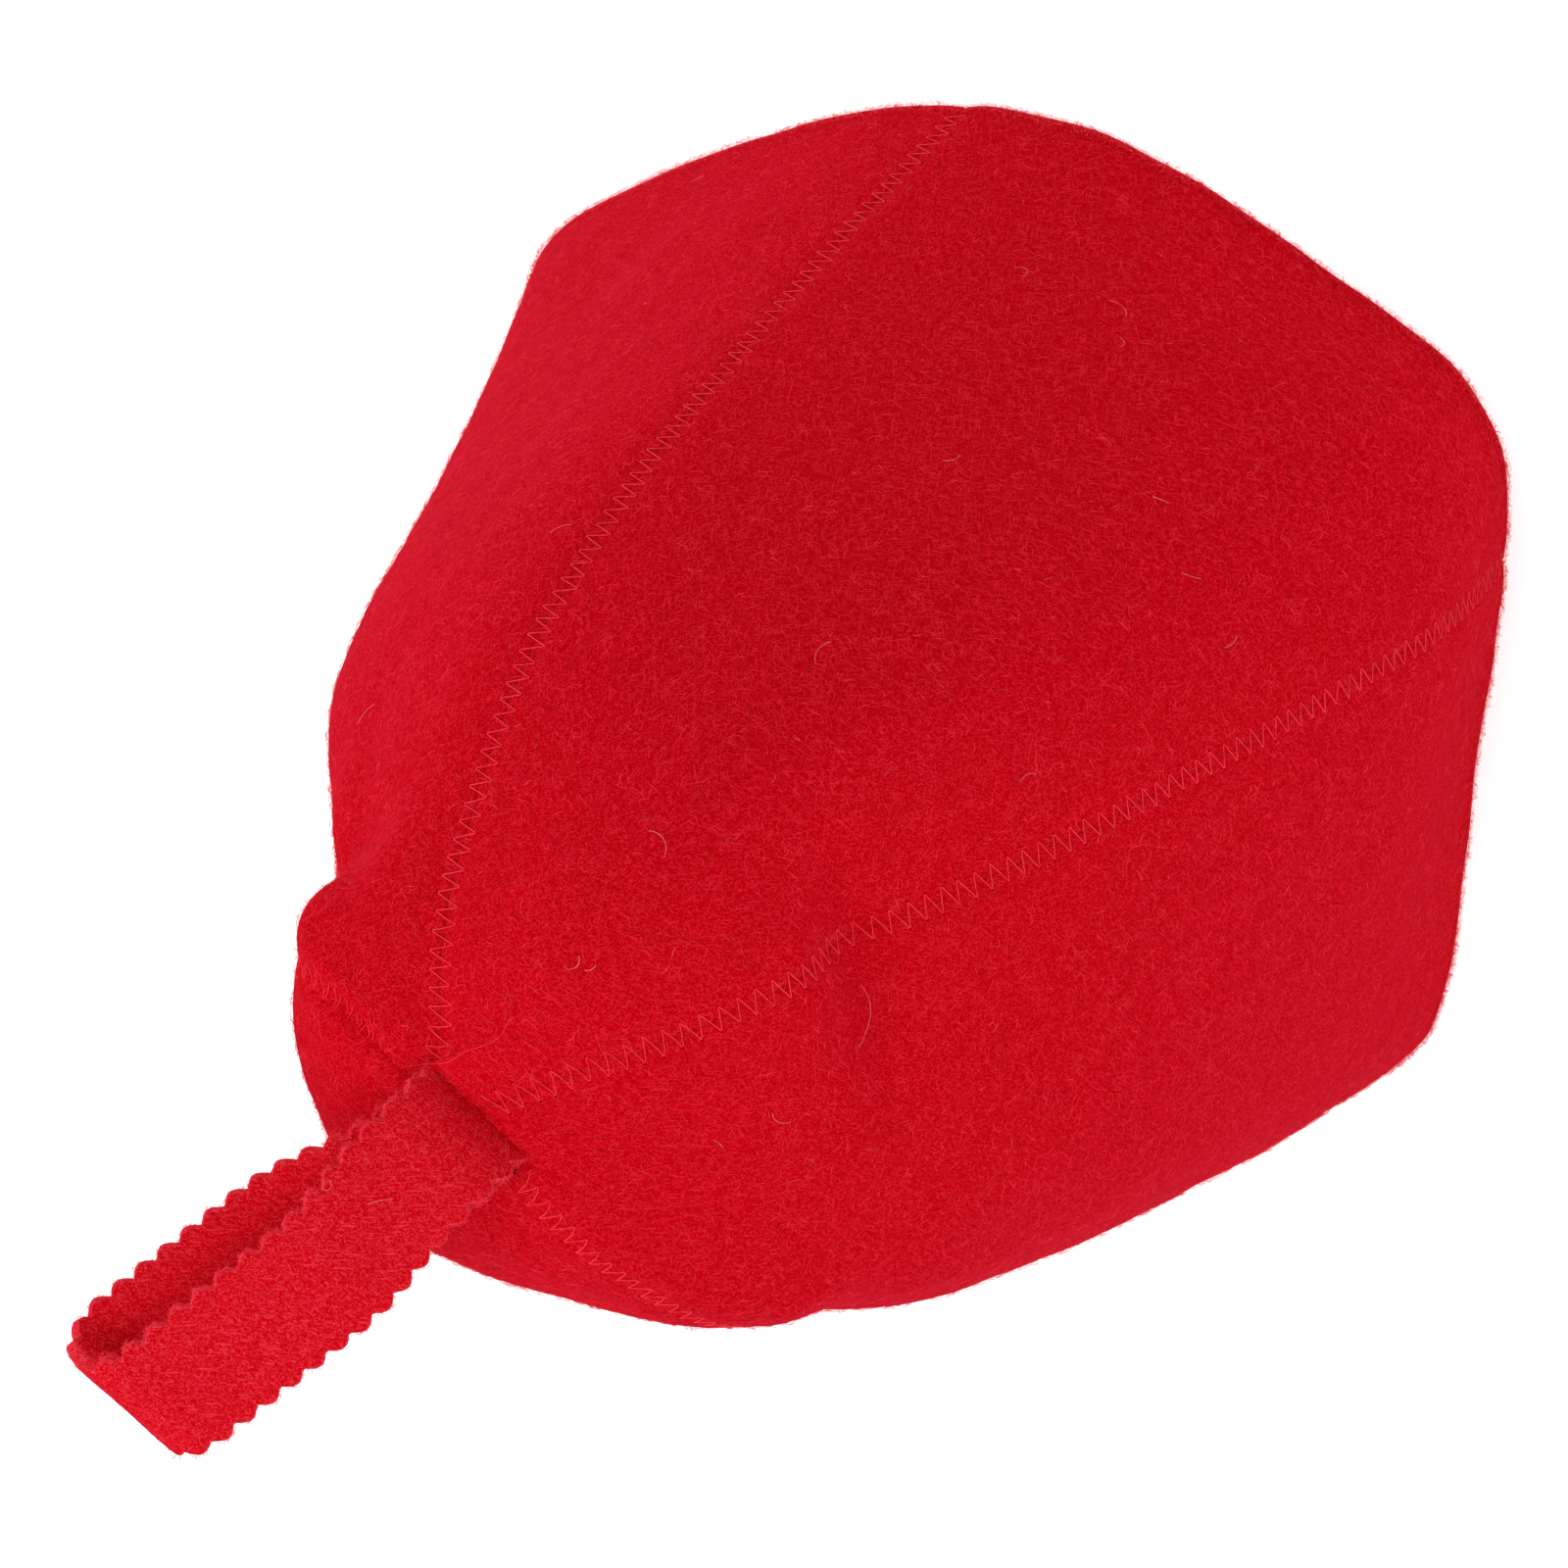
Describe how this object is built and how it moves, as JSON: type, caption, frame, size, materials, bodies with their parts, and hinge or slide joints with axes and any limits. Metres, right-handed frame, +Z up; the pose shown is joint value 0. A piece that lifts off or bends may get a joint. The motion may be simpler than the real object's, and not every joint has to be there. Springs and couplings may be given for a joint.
{
  "type": "sauna hat",
  "caption": "Red wool felt sauna hat of sewn gores, standing on its rim, with a scalloped felt hanging loop at the top of the crown.",
  "frame": {"origin": "middle of the hat's box, on the surface that the rim stands on", "axes": "+Z up through the crown, -Y out of the front gore, +X towards the right fold crease"},
  "size_m": [0.2468, 0.2014, 0.2828],
  "materials": {
    "felt": "matte",
    "loop_felt": "matte"
  },
  "bodies": {
    "root": {"gore_front": "felt", "gore_right": "felt", "gore_left": "felt", "gore_back": "felt", "hanging_loop": "loop_felt"}
  },
  "joints": []
}
